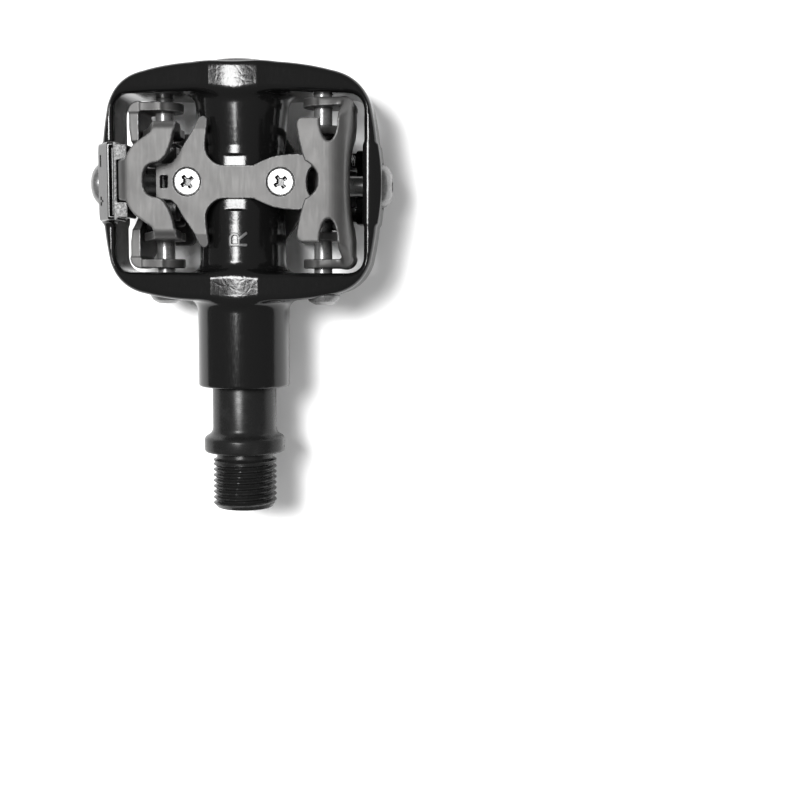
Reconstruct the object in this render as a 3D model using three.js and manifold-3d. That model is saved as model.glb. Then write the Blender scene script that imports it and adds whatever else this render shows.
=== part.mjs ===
// A double-sided clipless bicycle pedal on its threaded spindle. Millimetres, +Z up.
// The spindle lies along Y with its threaded end at -Y, and X runs from the front of the upper face
// (-X) to its rear (+X). The lower face is the upper one turned half a turn about the spindle.
import * as THREE from "three";
import { mergeVertices } from "three/addons/utils/BufferGeometryUtils.js";
import Module from "manifold-3d";

const wasm = await Module();
wasm.setup();

// Driving dimensions, measured from the middle of the platform plates.
const INBOARD_END = -72.3;
const OUTBOARD_END = 26.9;
const ORIGIN_Y = (INBOARD_END + OUTBOARD_END) / 2;
const THREAD_R = 7.14;
const FLANGE_R = 9.05;
const NECK_R = 7.15;
const JOURNAL_R = 6;
const AXLE_R = 4;
const TUBE_MOUTH = -44.7;
const TUBE_R = 10.2;
const BARREL_R = 9.4;
const BARREL_FLARE_R = 10.5;
const BORE_R = 8;
const FRAME_X = 30.7;
const FRAME_Y = 25.5;
const WINDOW_X = 27.5;
const WINDOW_Y = 19.3;
const BAR_TOP = 10.8;
const RIM_TOP = 5;
const BOSS_TOP = 12.7;
const BOSS_Y = 8.3;
const PLATE_TOP = 10.6;
const PLATE_THICK = 1.5;
const PLATE_SCREW_X = 10.1;
const CLAW_TOP = 16;
const CLAW_THICK = 2.1;
const PIN = { x: 18.4, z: 3.3, r: 2 };
const PIN_SEAT_Y = -24;
const SCREW_Z = -1.9;
const SCREW_R = 2.3;
const NUT_X = [13.7, 17];
const HEAD_SEAT_X = 30.4;
const SPRING_WIRE_R = 0.95;
const SPRING_INNER_Y = 4.4;
const FIT = 0.05;

const colours = {
  black_paint: { color: 0x0b0b0c, roughness: 0.22, metalness: 0.1 },
  grey_steel: { color: 0x6b6a68, roughness: 0.5, metalness: 0.9 },
  bright_steel: { color: 0xc9c9c7, roughness: 0.25, metalness: 1 },
  dark_steel: { color: 0x2c2c2e, roughness: 0.45, metalness: 0.8 },
  bearing_steel: { color: 0xb4b5b8, roughness: 0.15, metalness: 1 },
  brass: { color: 0xb08a3c, roughness: 0.35, metalness: 1 },
  rubber: { color: 0x101010, roughness: 0.85, metalness: 0 },
  black_plastic: { color: 0x0d0d0e, roughness: 0.35, metalness: 0 },
};

// ---------------------------------------------------------------- solids

const WELD = 1e-4;

// A closed geometry as a solid that can be joined and cut, facing out whichever way it was drawn.
function solid(geometry) {
  const bare = geometry.index ? geometry.toNonIndexed() : geometry.clone();
  bare.deleteAttribute("normal");
  bare.deleteAttribute("uv");
  const merged = mergeVertices(bare, WELD);
  const corners = merged.index.array;
  const triangles = [];
  for (let i = 0; i < corners.length; i += 3) {
    const [a, b, c] = corners.slice(i, i + 3);
    if (a !== b && b !== c && c !== a) triangles.push(a, b, c);
  }
  const made = (list) =>
    new wasm.Manifold(
      new wasm.Mesh({
        numProp: 3,
        vertProperties: merged.attributes.position.array,
        triVerts: new Uint32Array(list),
      }),
    );
  const first = made(triangles);
  return first.volume() < 0 ? made(triangles.reverse()) : first;
}

function join(...solids) {
  return solids.reduce((sum, one) => sum.add(one));
}

// An outline extruded along one axis, from low to high. The outline is drawn in the two other axes:
// X and Y for "z", X and Z for "y", Y and Z for "x".
const X = new THREE.Vector3(1, 0, 0);
const Y = new THREE.Vector3(0, 1, 0);
const Z = new THREE.Vector3(0, 0, 1);
const BASES = {
  z: new THREE.Matrix4().makeBasis(X, Y, Z),
  y: new THREE.Matrix4().makeBasis(X, Z, Y.clone().negate()),
  x: new THREE.Matrix4().makeBasis(Y, Z, X),
};

function prism(axis, outline, low, high, curveSegments = 6) {
  const depth = high - low;
  const made = new THREE.ExtrudeGeometry(outline, { depth, bevelEnabled: false, curveSegments });
  made.translate(0, 0, axis === "y" ? -high : low);
  return solid(made.applyMatrix4(BASES[axis]));
}

function box(lowX, highX, lowY, highY, lowZ, highZ) {
  const made = new THREE.BoxGeometry(highX - lowX, highY - lowY, highZ - lowZ);
  return solid(made.translate((lowX + highX) / 2, (lowY + highY) / 2, (lowZ + highZ) / 2));
}

// A closed outline from its half above the X axis, mirrored below it.
function mirrored(half) {
  const points = half.getPoints(4);
  const below = points.map((p) => new THREE.Vector2(p.x, -p.y)).reverse();
  return new THREE.Shape([...points, ...below]);
}

// A closed polygon through corners given as pairs.
function polygon(...corners) {
  return new THREE.Shape(corners.map(([u, v]) => new THREE.Vector2(u, v)));
}

// A solid of revolution about the Y axis from pairs of radius and y.
function turned(profile, segments = 24) {
  return solid(new THREE.LatheGeometry(profile.map(([r, y]) => new THREE.Vector2(r, y)), segments));
}

// A ring of revolution about the Y axis with a rectangular section.
function ring(inner, outer, low, high, segments = 24) {
  return turned([[inner, low], [outer, low], [outer, high], [inner, high], [inner, low]], segments);
}

// A plain round bar along one axis, from low to high, centred on u and v in the two other axes.
function bar(axis, radius, low, high, u = 0, v = 0, segments = 16) {
  const outline = new THREE.Shape();
  for (let i = 0; i < segments; i++) {
    const angle = (2 * Math.PI * (i + 0.5)) / segments;
    const x = u + radius * Math.cos(angle);
    const y = v + radius * Math.sin(angle);
    if (i) outline.lineTo(x, y);
    else outline.moveTo(x, y);
  }
  return prism(axis, outline, low, high);
}

// ---------------------------------------------------------------- the assembly

const pedal = new THREE.Group();
const body = new THREE.Group();
body.position.y = -ORIGIN_Y;
pedal.add(body);

// One node: a solid as a named mesh with its material.
function place(name, made, look) {
  const { vertProperties, triVerts, numProp } = made.getMesh();
  const geometry = new THREE.BufferGeometry();
  const corners = new Float32Array((vertProperties.length / numProp) * 3);
  for (let i = 0; i < corners.length / 3; i++) {
    corners.set(vertProperties.subarray(i * numProp, i * numProp + 3), i * 3);
  }
  geometry.setAttribute("position", new THREE.BufferAttribute(corners, 3));
  geometry.setIndex(new THREE.BufferAttribute(triVerts, 1));
  geometry.computeVertexNormals();
  const mesh = new THREE.Mesh(geometry, new THREE.MeshStandardMaterial(colours[look]));
  mesh.name = name;
  body.add(mesh);
}

// The same solid on the upper face, and turned half a turn about the spindle on the lower one.
function onBothFaces(name, made, look) {
  place(name + "_upper", made, look);
  place(name + "_lower", made.rotate([0, 180, 0]), look);
}

// ---------------------------------------------------------------- spindle

const AXLE_SHOULDER = -8;
const AXLE_END = 19.6;
const BEARING_WIDTH = 5;
const BEARING_LOW = { middle: AXLE_SHOULDER + FIT, outboard: 7.3 };
const CLIP_LOW = BEARING_LOW.outboard + BEARING_WIDTH + FIT;

function spindle() {
  const profile = [
    [0, INBOARD_END], [6.2, INBOARD_END], [THREAD_R, -71.3], [THREAD_R, -61.3],
    [6.3, -60.9], [6.3, -59.3], [7.3, -59.3], [7.3, -59.6], [8.5, -59.6], [FLANGE_R, -59.1],
    [FLANGE_R, -56.5],
    [8.4, -55.8], [7.5, -55.2], [NECK_R, -54.2], [NECK_R, -41.2], [JOURNAL_R, -40.6],
    [JOURNAL_R, AXLE_SHOULDER], [AXLE_R, AXLE_SHOULDER], [AXLE_R, AXLE_END - 0.6],
    [3.4, AXLE_END], [0, AXLE_END],
  ];
  const hexKey = bar("y", 8 / Math.sqrt(3), INBOARD_END - 1, INBOARD_END + 7, 0, 0, 6);
  return turned(profile, 28).subtract(hexKey);
}

place("spindle", spindle(), "black_paint");

// ---------------------------------------------------------------- body frame

// The frame's outer edge in plan: crowned ends, round corners, and bars that bulge at the middle.
function frameOutline() {
  const half = new THREE.Path();
  half.moveTo(-FRAME_X, 0);
  half.quadraticCurveTo(-30.8, 9, -29, 17);
  half.quadraticCurveTo(-27, 23, -20.5, 24.1);
  half.lineTo(-9, FRAME_Y);
  half.lineTo(9, FRAME_Y);
  half.lineTo(20.5, 24.1);
  half.quadraticCurveTo(27, 23, 29, 17);
  half.quadraticCurveTo(30.8, 9, FRAME_X, 0);
  return mirrored(half);
}

function windowOutline() {
  const corner = 4;
  const half = new THREE.Path();
  half.moveTo(-WINDOW_X, 0);
  half.lineTo(-WINDOW_X, WINDOW_Y - corner);
  half.quadraticCurveTo(-WINDOW_X, WINDOW_Y, corner - WINDOW_X, WINDOW_Y);
  half.lineTo(WINDOW_X - corner, WINDOW_Y);
  half.quadraticCurveTo(WINDOW_X, WINDOW_Y, WINDOW_X, WINDOW_Y - corner);
  half.lineTo(WINDOW_X, 0);
  return mirrored(half);
}

// The bars' side view: a flat in the middle, sloping to the low rims at both ends.
function barSide() {
  const edge = FRAME_X + 1;
  return polygon(
    [-edge, -RIM_TOP], [-WINDOW_X, -6.4], [-5.3, -BAR_TOP], [5.3, -BAR_TOP],
    [WINDOW_X, -6.4], [edge, -RIM_TOP], [edge, RIM_TOP], [WINDOW_X, 6.4],
    [5.3, BAR_TOP], [-5.3, BAR_TOP], [-WINDOW_X, 6.4], [-edge, RIM_TOP],
  );
}

// The raised boss at the upper face's front end, with the two blocks that hold the claw's tongue.
function endBoss() {
  const plan = new THREE.Shape();
  plan.moveTo(-24.7, -BOSS_Y);
  plan.lineTo(-30.4, -BOSS_Y);
  plan.quadraticCurveTo(-32.2, 0, -30.4, BOSS_Y);
  plan.lineTo(-24.7, BOSS_Y);
  const side = polygon(
    [-WINDOW_X, -RIM_TOP], [-33, -RIM_TOP], [-31.6, 3.5], [-30.2, 8], [-27.6, BOSS_TOP],
    [-24.7, BOSS_TOP], [-24.7, 5.4], [-WINDOW_X, 4.4],
  );
  const boss = prism("z", plan, -RIM_TOP, BOSS_TOP).intersect(prism("y", side, -10, 10));
  const blocks = [-1, 1].map((sign) => {
    const [low, high] = [4.5 * sign, 7.7 * sign].sort((a, b) => a - b);
    return box(-25, -22.6, low, high, 5.4, BOSS_TOP);
  });
  return join(boss, ...blocks);
}

// The lugs beside the barrel that take a platform plate's two screws.
function plateLugs() {
  const lug = box(6, 12.7, -3.3, 3.3, 4.2, PLATE_TOP - PLATE_THICK - FIT);
  return join(lug, lug.mirror([1, 0, 0]));
}

function bodyFrame() {
  const plan = prism("z", frameOutline(), -BAR_TOP, BAR_TOP);
  const frame = plan
    .subtract(prism("z", windowOutline(), -BAR_TOP - 1, BAR_TOP + 1))
    .intersect(prism("y", barSide(), -FRAME_Y - 1, FRAME_Y + 1));
  const tube = turned([
    [0, TUBE_MOUTH], [9.8, TUBE_MOUTH], [TUBE_R, TUBE_MOUTH + 0.4], [TUBE_R, -28.5],
    [BAR_TOP, -26.2], [BAR_TOP, -24], [BARREL_R + 0.4, -24], [BARREL_R, -9], [BARREL_R, 8],
    [BARREL_FLARE_R, 19.3], [BARREL_FLARE_R, 24], [0, 24],
  ], 32);
  const faces = [join(endBoss(), plateLugs())];
  faces.push(faces[0].rotate([0, 180, 0]));
  const outer = join(frame, tube, ...faces);

  const seat = box(-13, 13, -5.9, 5.9, PLATE_TOP - PLATE_THICK - FIT, BOSS_TOP);
  const headPocket = bar("x", 5.1, -34, -HEAD_SEAT_X, 0, -SCREW_Z);
  const shankHole = bar("x", 2.7, -34, -24, 0, -SCREW_Z, 12);
  const screwHoles = [-1, 1].map((sign) => bar("z", 1.45, 3, 12, sign * PLATE_SCREW_X, 0, 12));
  const pinHole = bar("y", PIN.r + 0.1, -FRAME_Y - 1, 22.6, -PIN.x, -PIN.z);
  const pinSeat = bar("y", 3.95, -FRAME_Y - 1, PIN_SEAT_Y, -PIN.x, -PIN.z);
  const cuts = [join(seat, headPocket, shankHole, pinHole, pinSeat, ...screwHoles)];
  cuts.push(cuts[0].rotate([0, 180, 0]));
  const bore = turned([
    [0, TUBE_MOUTH - 1], [BORE_R, TUBE_MOUTH - 1], [BORE_R, -20], [6.9, -20],
    [6.9, AXLE_SHOULDER - 0.2], [BORE_R, AXLE_SHOULDER - 0.2], [BORE_R, CLIP_LOW - FIT],
    [BORE_R + 0.5, CLIP_LOW - FIT], [BORE_R + 0.5, CLIP_LOW + 1.1], [BORE_R, CLIP_LOW + 1.1],
    [BORE_R, 27], [0, 27],
  ], 32);
  return outer.subtract(join(bore, ...cuts));
}

place("body_frame", bodyFrame(), "black_paint");

// The cap that closes the bore at the outboard side.
const endCap = turned([
  [0, 22.2], [7.2, 22.2], [7.9, 22.7], [7.9, FRAME_Y + 0.02], [8.4, FRAME_Y + 0.02],
  [8.2, 26.1], [6.9, 26.6], [3.6, OUTBOARD_END], [0, OUTBOARD_END],
]);
place("end_cap", endCap, "black_plastic");

// ---------------------------------------------------------------- bearings

const RACE_IN = 5;
const RACE_OUT = 7;
const BALL_R = 0.9;
const BALL_COUNT = 7;
const CAGE_R = (RACE_IN + RACE_OUT) / 2;

// Seven balls held by one cage: the set that rolls round between the two races.
function ballCage(middle) {
  const cage = ring(CAGE_R - 0.3, CAGE_R + 0.3, middle - 1.4, middle + 1.4, 14);
  const balls = Array.from({ length: BALL_COUNT }, (_, i) => {
    const angle = (2 * Math.PI * i) / BALL_COUNT;
    const ball = new THREE.IcosahedronGeometry(BALL_R, 1);
    return solid(ball.translate(CAGE_R * Math.cos(angle), middle, CAGE_R * Math.sin(angle)));
  });
  return join(cage, ...balls);
}

for (const [name, low] of Object.entries(BEARING_LOW)) {
  const high = low + BEARING_WIDTH;
  place(name + "_bearing_inner_race", ring(AXLE_R + FIT, RACE_IN, low, high), "bearing_steel");
  place(name + "_bearing_outer_race", ring(RACE_OUT, BORE_R - FIT, low, high), "bearing_steel");
  place(name + "_bearing_ball_cage", ballCage((low + high) / 2), "bearing_steel");
}

const spacerLow = BEARING_LOW.middle + BEARING_WIDTH + FIT;
const spacer = ring(AXLE_R + 0.1, 5.2, spacerLow, BEARING_LOW.outboard - FIT);
place("bearing_spacer", spacer, "bearing_steel");

// The open ring in the bore's groove that keeps the outboard bearing in.
const clipGap = box(0, 10, CLIP_LOW - 1, CLIP_LOW + 2, -2.5, 2.5);
const clip = ring(7, BORE_R + 0.4, CLIP_LOW, CLIP_LOW + 1).subtract(clipGap);
place("retaining_ring", clip, "dark_steel");

place("lock_washer", ring(AXLE_R + 0.1, 6.2, CLIP_LOW, CLIP_LOW + 1), "dark_steel");

const nutLow = CLIP_LOW + 1 + FIT;
const hexNut = bar("y", 12 / Math.sqrt(3), nutLow, nutLow + 4.2, 0, 0, 6);
const lockNut = hexNut.subtract(bar("y", AXLE_R + 0.15, nutLow - 1, nutLow + 6, 0, 0, 24));
place("lock_nut", lockNut, "dark_steel");

place("inboard_bush", ring(JOURNAL_R + 0.08, BORE_R - FIT, -39.8, -20.1), "brass");
place("dust_seal", ring(NECK_R + 0.1, BORE_R - FIT, TUBE_MOUTH + 0.3, TUBE_MOUTH + 3.1), "rubber");

// ---------------------------------------------------------------- platform plates

// The plate in plan: a short tail under the front claw, two horns, a waist and a wide rear tail.
function plateOutline() {
  const half = new THREE.Path();
  half.moveTo(-16.9, 0);
  half.lineTo(-16.9, 3.2);
  half.lineTo(-16.2, 3.7);
  half.lineTo(-13.8, 3.9);
  half.quadraticCurveTo(-12.6, 4.4, -11.4, 6.9);
  half.lineTo(-8.6, 11.1);
  half.lineTo(-7.6, 13.3);
  half.quadraticCurveTo(-6.6, 14.6, -5.7, 13.3);
  half.lineTo(-5.7, 12.2);
  half.lineTo(-6.1, 8.4);
  half.bezierCurveTo(-6.5, 5.6, -4.4, 3.7, -2.4, 3.5);
  half.lineTo(4.2, 3.5);
  half.quadraticCurveTo(6, 4.4, 8.4, 5.3);
  half.lineTo(14.1, 5.9);
  half.lineTo(17, 5);
  half.lineTo(17, 3.3);
  half.quadraticCurveTo(15.7, 2.4, 15.7, 0);
  return mirrored(half);
}

// The plate seen from its end: flat, with the tips of the horns bent down a little.
function plateEnd() {
  const under = PLATE_TOP - PLATE_THICK;
  const fold = 11.1;
  const drop = 0.75;
  return polygon(
    [-15, PLATE_TOP - drop], [-15, under - drop], [-fold, under], [fold, under],
    [15, under - drop], [15, PLATE_TOP - drop], [fold, PLATE_TOP], [-fold, PLATE_TOP],
  );
}

// The conical head of a countersunk screw and its shank, standing along Z.
function countersunk(x, grow, depth) {
  const head = PLATE_TOP - 0.1;
  const profile = [
    [0, head - depth], [1.3 + grow, head - depth], [1.3 + grow, head - 1.35],
    [2.9 + grow, head - 0.1], [2.9 + grow, head + (grow ? 2 : 0)], [0, head + (grow ? 2 : 0)],
  ];
  const geometry = new THREE.LatheGeometry(profile.map(([r, y]) => new THREE.Vector2(r, y)), 20);
  return solid(geometry.rotateX(Math.PI / 2).translate(x, 0, 0));
}

// The cross recess in a screw's head.
function crossRecess(x) {
  const arm = box(-1.45, 1.45, -0.33, 0.33, PLATE_TOP - 1.1, PLATE_TOP + 1);
  return join(arm, arm.rotate([0, 0, 90])).rotate([0, 0, 35]).translate([x, 0, 0]);
}

const gaugeSlot = box(-15.9, -14.3, -1.35, 1.35, 8, 12);
const plate = prism("z", plateOutline(), 7, 12)
  .intersect(prism("x", plateEnd(), -18, 18))
  .subtract(join(countersunk(-PLATE_SCREW_X, 0.12, 4), countersunk(PLATE_SCREW_X, 0.12, 4), gaugeSlot));
onBothFaces("platform_plate", plate, "grey_steel");

for (const [end, sign] of [["front", -1], ["rear", 1]]) {
  const x = sign * PLATE_SCREW_X;
  onBothFaces("plate_screw_" + end, countersunk(x, 0, 5).subtract(crossRecess(x)), "bright_steel");
}

// ---------------------------------------------------------------- front claws

const INNER_EAR = [10.4, 12.4];

// The fixed claw in plan: a tongue towards the frame's end, and two arms round a U notch.
function frontClawOutline() {
  const half = new THREE.Path();
  half.moveTo(-24.4, 0);
  half.lineTo(-24.4, 3.6);
  half.lineTo(-23.9, 4.1);
  half.lineTo(-22, 4.4);
  half.quadraticCurveTo(-20.9, 7, -19.1, 8.1);
  half.lineTo(-16.9, 9.6);
  half.lineTo(-15.9, 11.2);
  half.lineTo(-15.9, INNER_EAR[1]);
  half.lineTo(-11.4, INNER_EAR[1]);
  half.quadraticCurveTo(-11.9, 7, -13.7, 4.7);
  half.lineTo(-15.3, 3.6);
  half.quadraticCurveTo(-18.3, 3.6, -18.3, 0);
  return mirrored(half);
}

// The bent sheet seen from its side: the tongue curls down into the boss.
function frontClawSide() {
  const under = CLAW_TOP - CLAW_THICK;
  const side = new THREE.Shape();
  side.moveTo(-11, CLAW_TOP);
  side.lineTo(-20.5, CLAW_TOP);
  side.quadraticCurveTo(-24.4, CLAW_TOP, -24.4, 11.4);
  side.lineTo(-22.3, 11.4);
  side.quadraticCurveTo(-22.3, under, -20.5, under);
  side.lineTo(-11, under);
  return side;
}

// An ear that hangs from the sheet to a round eye on the pin.
function frontEar(low, high) {
  const under = CLAW_TOP - 0.8;
  const web = polygon([-15.9, under], [-11.4, under], [-11.6, 10], [-14.4, -2.4], [-22, -5.4], [-22.3, -1.6]);
  const eye = bar("y", 4.2, low, high, -PIN.x, -PIN.z, 20);
  return join(prism("y", web, low, high), eye);
}

function frontClaw() {
  const sheet = prism("z", frontClawOutline(), 8, 18).intersect(prism("y", frontClawSide(), -14, 14));
  const [low, high] = INNER_EAR;
  const ears = join(frontEar(low, high), frontEar(-high, -low));
  const eyeHole = bar("y", PIN.r + 0.15, -14, 14, -PIN.x, -PIN.z);
  const round = new THREE.Shape();
  round.moveTo(-INNER_EAR[1], -9);
  round.lineTo(-INNER_EAR[1], 13.6);
  round.quadraticCurveTo(-INNER_EAR[1], CLAW_TOP, 2.4 - INNER_EAR[1], CLAW_TOP);
  round.lineTo(INNER_EAR[1] - 2.4, CLAW_TOP);
  round.quadraticCurveTo(INNER_EAR[1], CLAW_TOP, INNER_EAR[1], 13.6);
  round.lineTo(INNER_EAR[1], -9);
  return join(sheet, ears).subtract(eyeHole).intersect(prism("x", round, -26, -8));
}

onBothFaces("front_claw", frontClaw(), "grey_steel");

// ---------------------------------------------------------------- rear claws

const OUTER_EAR = [16.2, 18.4];
const BACK_X = 25.5;

// The sprung claw in plan: a hook with two arms, a waist, and a back wall as wide as the ears.
function rearClawOutline() {
  const half = new THREE.Path();
  half.moveTo(18.8, 0);
  half.lineTo(18.7, 1.2);
  half.quadraticCurveTo(18, 3, 16.1, 3.9);
  half.quadraticCurveTo(14.9, 7, 14.3, 11.4);
  half.quadraticCurveTo(14.6, 13, 16, 13);
  half.lineTo(19.1, 13);
  half.bezierCurveTo(19.3, 6.4, 22.9, 6.4, 22.9, 13);
  half.lineTo(22.6, OUTER_EAR[0]);
  half.lineTo(13, OUTER_EAR[0]);
  half.lineTo(13, OUTER_EAR[1]);
  half.lineTo(22.5, OUTER_EAR[1]);
  half.quadraticCurveTo(BACK_X, OUTER_EAR[1], BACK_X, OUTER_EAR[1] - 3);
  half.lineTo(BACK_X, 12.6);
  half.quadraticCurveTo(BACK_X - 1.1, 6, BACK_X - 1, 0);
  return mirrored(half);
}

function rearClawSide() {
  const under = CLAW_TOP - CLAW_THICK;
  const side = new THREE.Shape();
  side.moveTo(14, CLAW_TOP);
  side.lineTo(20.4, CLAW_TOP);
  side.quadraticCurveTo(BACK_X, CLAW_TOP, BACK_X, 10.6);
  side.lineTo(BACK_X, -0.9);
  side.lineTo(23.2, -0.9);
  side.lineTo(23.2, 10.6);
  side.quadraticCurveTo(23.2, under, 20.4, under);
  side.lineTo(14, under);
  return side;
}

function rearClaw() {
  const outline = prism("z", rearClawOutline(), -3, 18);
  const sheet = prism("y", rearClawSide(), -20, 20);
  const [low, high] = OUTER_EAR;
  const web = polygon([18.4, 7.6], [18.4, -1], [26, -0.9], [26, 9], [22, 9]);
  const ears = [[low, high], [-high, -low]].map(([from, to]) =>
    join(prism("y", web, from, to), bar("y", 4.3, from, to, PIN.x, PIN.z, 20)),
  );
  const slope = polygon([13.2, 20], [13.2, 15], [18.4, 7.4], [20, 7.4], [20, 20]);
  const shoulder = prism("x", slope, 12, 30);
  const shoulders = join(shoulder, shoulder.mirror([0, 1, 0]));
  const arch = bar("x", 10.6, 22, 30, 0, -5.2, 28);
  const eyeHole = bar("y", PIN.r + 0.12, -20, 20, PIN.x, PIN.z);
  return join(sheet, ...ears).intersect(outline).subtract(join(shoulders, arch, eyeHole));
}

onBothFaces("rear_claw", rearClaw(), "grey_steel");

// ---------------------------------------------------------------- pins, springs, tension

// The pin through both side bars at the upper face's rear end, with a button head inboard.
function pivotPin() {
  const wall = PIN_SEAT_Y - FIT;
  const head = [
    [0, wall - 2.3], [1.8, wall - 2.2], [3.1, wall - 1.5], [3.7, wall - 0.5], [3.7, wall],
    [PIN.r, wall], [PIN.r, 21.8], [1.6, 22.3], [0, 22.3],
  ];
  return turned(head, 16).translate([PIN.x, 0, PIN.z]);
}

for (const [face, angle] of [["upper", 0], ["lower", 180]]) {
  place("pivot_pin_" + face, pivotPin().rotate([0, angle, 0]), "bright_steel");
}

// The wire of a torsion spring on the pin: a leg up the claw's back wall, the turns, and a leg that
// lies over the tension nut. Side is +1 or -1, for the spring on that side of the tension screw.
function springWire(side) {
  const coilR = 3.5;
  const turns = 2.25;
  const coilSteps = 12 * turns;
  const points = [new THREE.Vector3(PIN.x + coilR, side * 9.2, PIN.z + 5)];
  for (let i = 0; i <= coilSteps; i++) {
    const angle = (-2 * Math.PI * i) / 12;
    const y = side * THREE.MathUtils.lerp(9.2, SPRING_INNER_Y, i / coilSteps);
    points.push(new THREE.Vector3(PIN.x + coilR * Math.cos(angle), y, PIN.z + coilR * Math.sin(angle)));
  }
  points.push(new THREE.Vector3(13.2, side * SPRING_INNER_Y, PIN.z - coilR));
  return new THREE.CatmullRomCurve3(points, false, "centripetal");
}

function torsionSpring(side) {
  const section = new THREE.Shape();
  for (let i = 0; i < 7; i++) {
    const angle = (2 * Math.PI * i) / 7;
    const [u, v] = [SPRING_WIRE_R * Math.cos(angle), SPRING_WIRE_R * Math.sin(angle)];
    if (i) section.lineTo(u, v);
    else section.moveTo(u, v);
  }
  const options = { steps: 38, bevelEnabled: false, extrudePath: springWire(side) };
  return solid(new THREE.ExtrudeGeometry(section, options));
}

onBothFaces("torsion_spring_inboard", torsionSpring(-1), "dark_steel");
onBothFaces("torsion_spring_outboard", torsionSpring(1), "dark_steel");

// The button-head screw that draws the nut towards the frame's end.
function tensionScrew() {
  const seat = HEAD_SEAT_X + FIT;
  const shank = turned([
    [0, 12.9], [1.8, 12.9], [SCREW_R, 13.4], [SCREW_R, seat], [4.75, seat], [4.7, seat + 0.8],
    [4, seat + 1.9], [2.6, seat + 2.7], [0, seat + 2.8],
  ], 16);
  const socket = bar("x", 3 / Math.sqrt(3), seat + 1.2, seat + 4, 0, 0, 6);
  return shank.rotate([0, 0, -90]).subtract(socket).translate([0, 0, SCREW_Z]);
}

onBothFaces("tension_screw", tensionScrew(), "bright_steel");

// The nut: a hump round the thread, between the springs, on a wide foot under both of them.
function tensionNut() {
  const [low, high] = NUT_X;
  const hump = box(low, high, -3.1, 3.1, -5.4, 0.9);
  const foot = box(low, high, -8, 8, -5.4, -1.75);
  return join(hump, foot).subtract(bar("x", SCREW_R + 0.2, 10, 20, 0, SCREW_Z, 20));
}

onBothFaces("tension_nut", tensionNut(), "dark_steel");

export default pedal;
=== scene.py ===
"""Looks of a double-sided clipless pedal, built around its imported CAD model.

Shapes are drawn in millimetres in the pedal's own terms: Y from the middle of the platform plates,
X and Z from the spindle's axis. Castings, stampings and screws are signed distance fields, meshed
finely and moved onto the exact surface. What turns about an axis is a turned mesh.
"""
import math

import bmesh
import bpy
import numpy as np
from mathutils import Matrix, Vector


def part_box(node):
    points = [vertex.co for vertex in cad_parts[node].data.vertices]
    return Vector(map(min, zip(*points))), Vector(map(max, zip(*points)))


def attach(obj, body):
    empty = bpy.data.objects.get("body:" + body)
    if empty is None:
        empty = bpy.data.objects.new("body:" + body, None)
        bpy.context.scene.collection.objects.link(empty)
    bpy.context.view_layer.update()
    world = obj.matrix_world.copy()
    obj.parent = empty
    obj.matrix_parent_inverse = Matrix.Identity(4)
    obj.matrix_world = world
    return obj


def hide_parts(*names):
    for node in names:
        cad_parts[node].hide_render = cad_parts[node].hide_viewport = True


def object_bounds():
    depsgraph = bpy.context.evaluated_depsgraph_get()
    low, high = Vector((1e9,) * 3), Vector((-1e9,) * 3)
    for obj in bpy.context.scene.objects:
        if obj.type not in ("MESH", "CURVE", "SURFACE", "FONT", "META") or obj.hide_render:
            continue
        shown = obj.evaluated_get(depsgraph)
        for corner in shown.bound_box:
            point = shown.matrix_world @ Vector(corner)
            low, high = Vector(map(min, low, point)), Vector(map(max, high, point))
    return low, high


for name in ("Cube", "Light", "Camera"):
    if name in bpy.data.objects:
        bpy.data.objects.remove(bpy.data.objects[name])

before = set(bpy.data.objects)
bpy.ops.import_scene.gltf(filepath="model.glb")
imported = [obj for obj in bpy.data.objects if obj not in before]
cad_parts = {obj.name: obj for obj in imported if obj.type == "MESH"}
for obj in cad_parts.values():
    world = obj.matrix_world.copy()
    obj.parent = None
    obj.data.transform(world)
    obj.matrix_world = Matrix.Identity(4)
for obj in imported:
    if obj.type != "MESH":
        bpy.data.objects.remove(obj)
cad_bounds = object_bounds()

# ---------------------------------------------------------------- places, from the frame

MM = 0.001


def middle(node):
    low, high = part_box(node)
    return (low + high) / 2 / MM


PLATE_Y = middle("platform_plate_upper").y
INBOARD_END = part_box("spindle")[0].y / MM - PLATE_Y
OUTBOARD_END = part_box("end_cap")[1].y / MM - PLATE_Y
PIN_X, _, PIN_Z = middle("pivot_pin_upper")
SCREW_Z = middle("tension_screw_upper").z
PLATE_SCREW_X = middle("plate_screw_rear_upper").x
PLATE_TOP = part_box("platform_plate_upper")[1].z / MM
CLAW_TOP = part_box("rear_claw_upper")[1].z / MM
NUT_LOW_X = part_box("tension_nut_upper")[0].x / MM
NUT_HIGH_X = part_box("tension_nut_upper")[1].x / MM
HEAD_TIP_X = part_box("tension_screw_upper")[1].x / MM
FLOOR_Z = cad_bounds[0][2]

PLATE_THICK = 1.5
BAR_TOP = 10.8
FLAT_X = 5.3
BOSS_TOP = 12.7
BLOCK_X = 25.2
WINDOW_X = 27.5
WINDOW_Y = 19.3
BARREL_R = 9.4
BARREL_FLARE_R = 10.5
TUBE_R = 10.2
BORE_R = 8
TUBE_MOUTH = -44.7
TUBE_END = 24
PIN_R = 2.1
INNER_EAR = (10.4, 12.4)
OUTER_EAR = (16.2, 18.4)
CLAW_BACK_X = 25.5

# ---------------------------------------------------------------- outlines


def bezier(*controls, steps=14):
    """Points along one Bezier curve, without its first point."""
    points = []
    degree = len(controls) - 1
    for i in range(1, steps + 1):
        t = i / steps
        weights = [math.comb(degree, k) * t**k * (1 - t) ** (degree - k) for k in range(degree + 1)]
        x = sum(w * c[0] for w, c in zip(weights, controls))
        y = sum(w * c[1] for w, c in zip(weights, controls))
        points.append((x, y))
    return points


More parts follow.
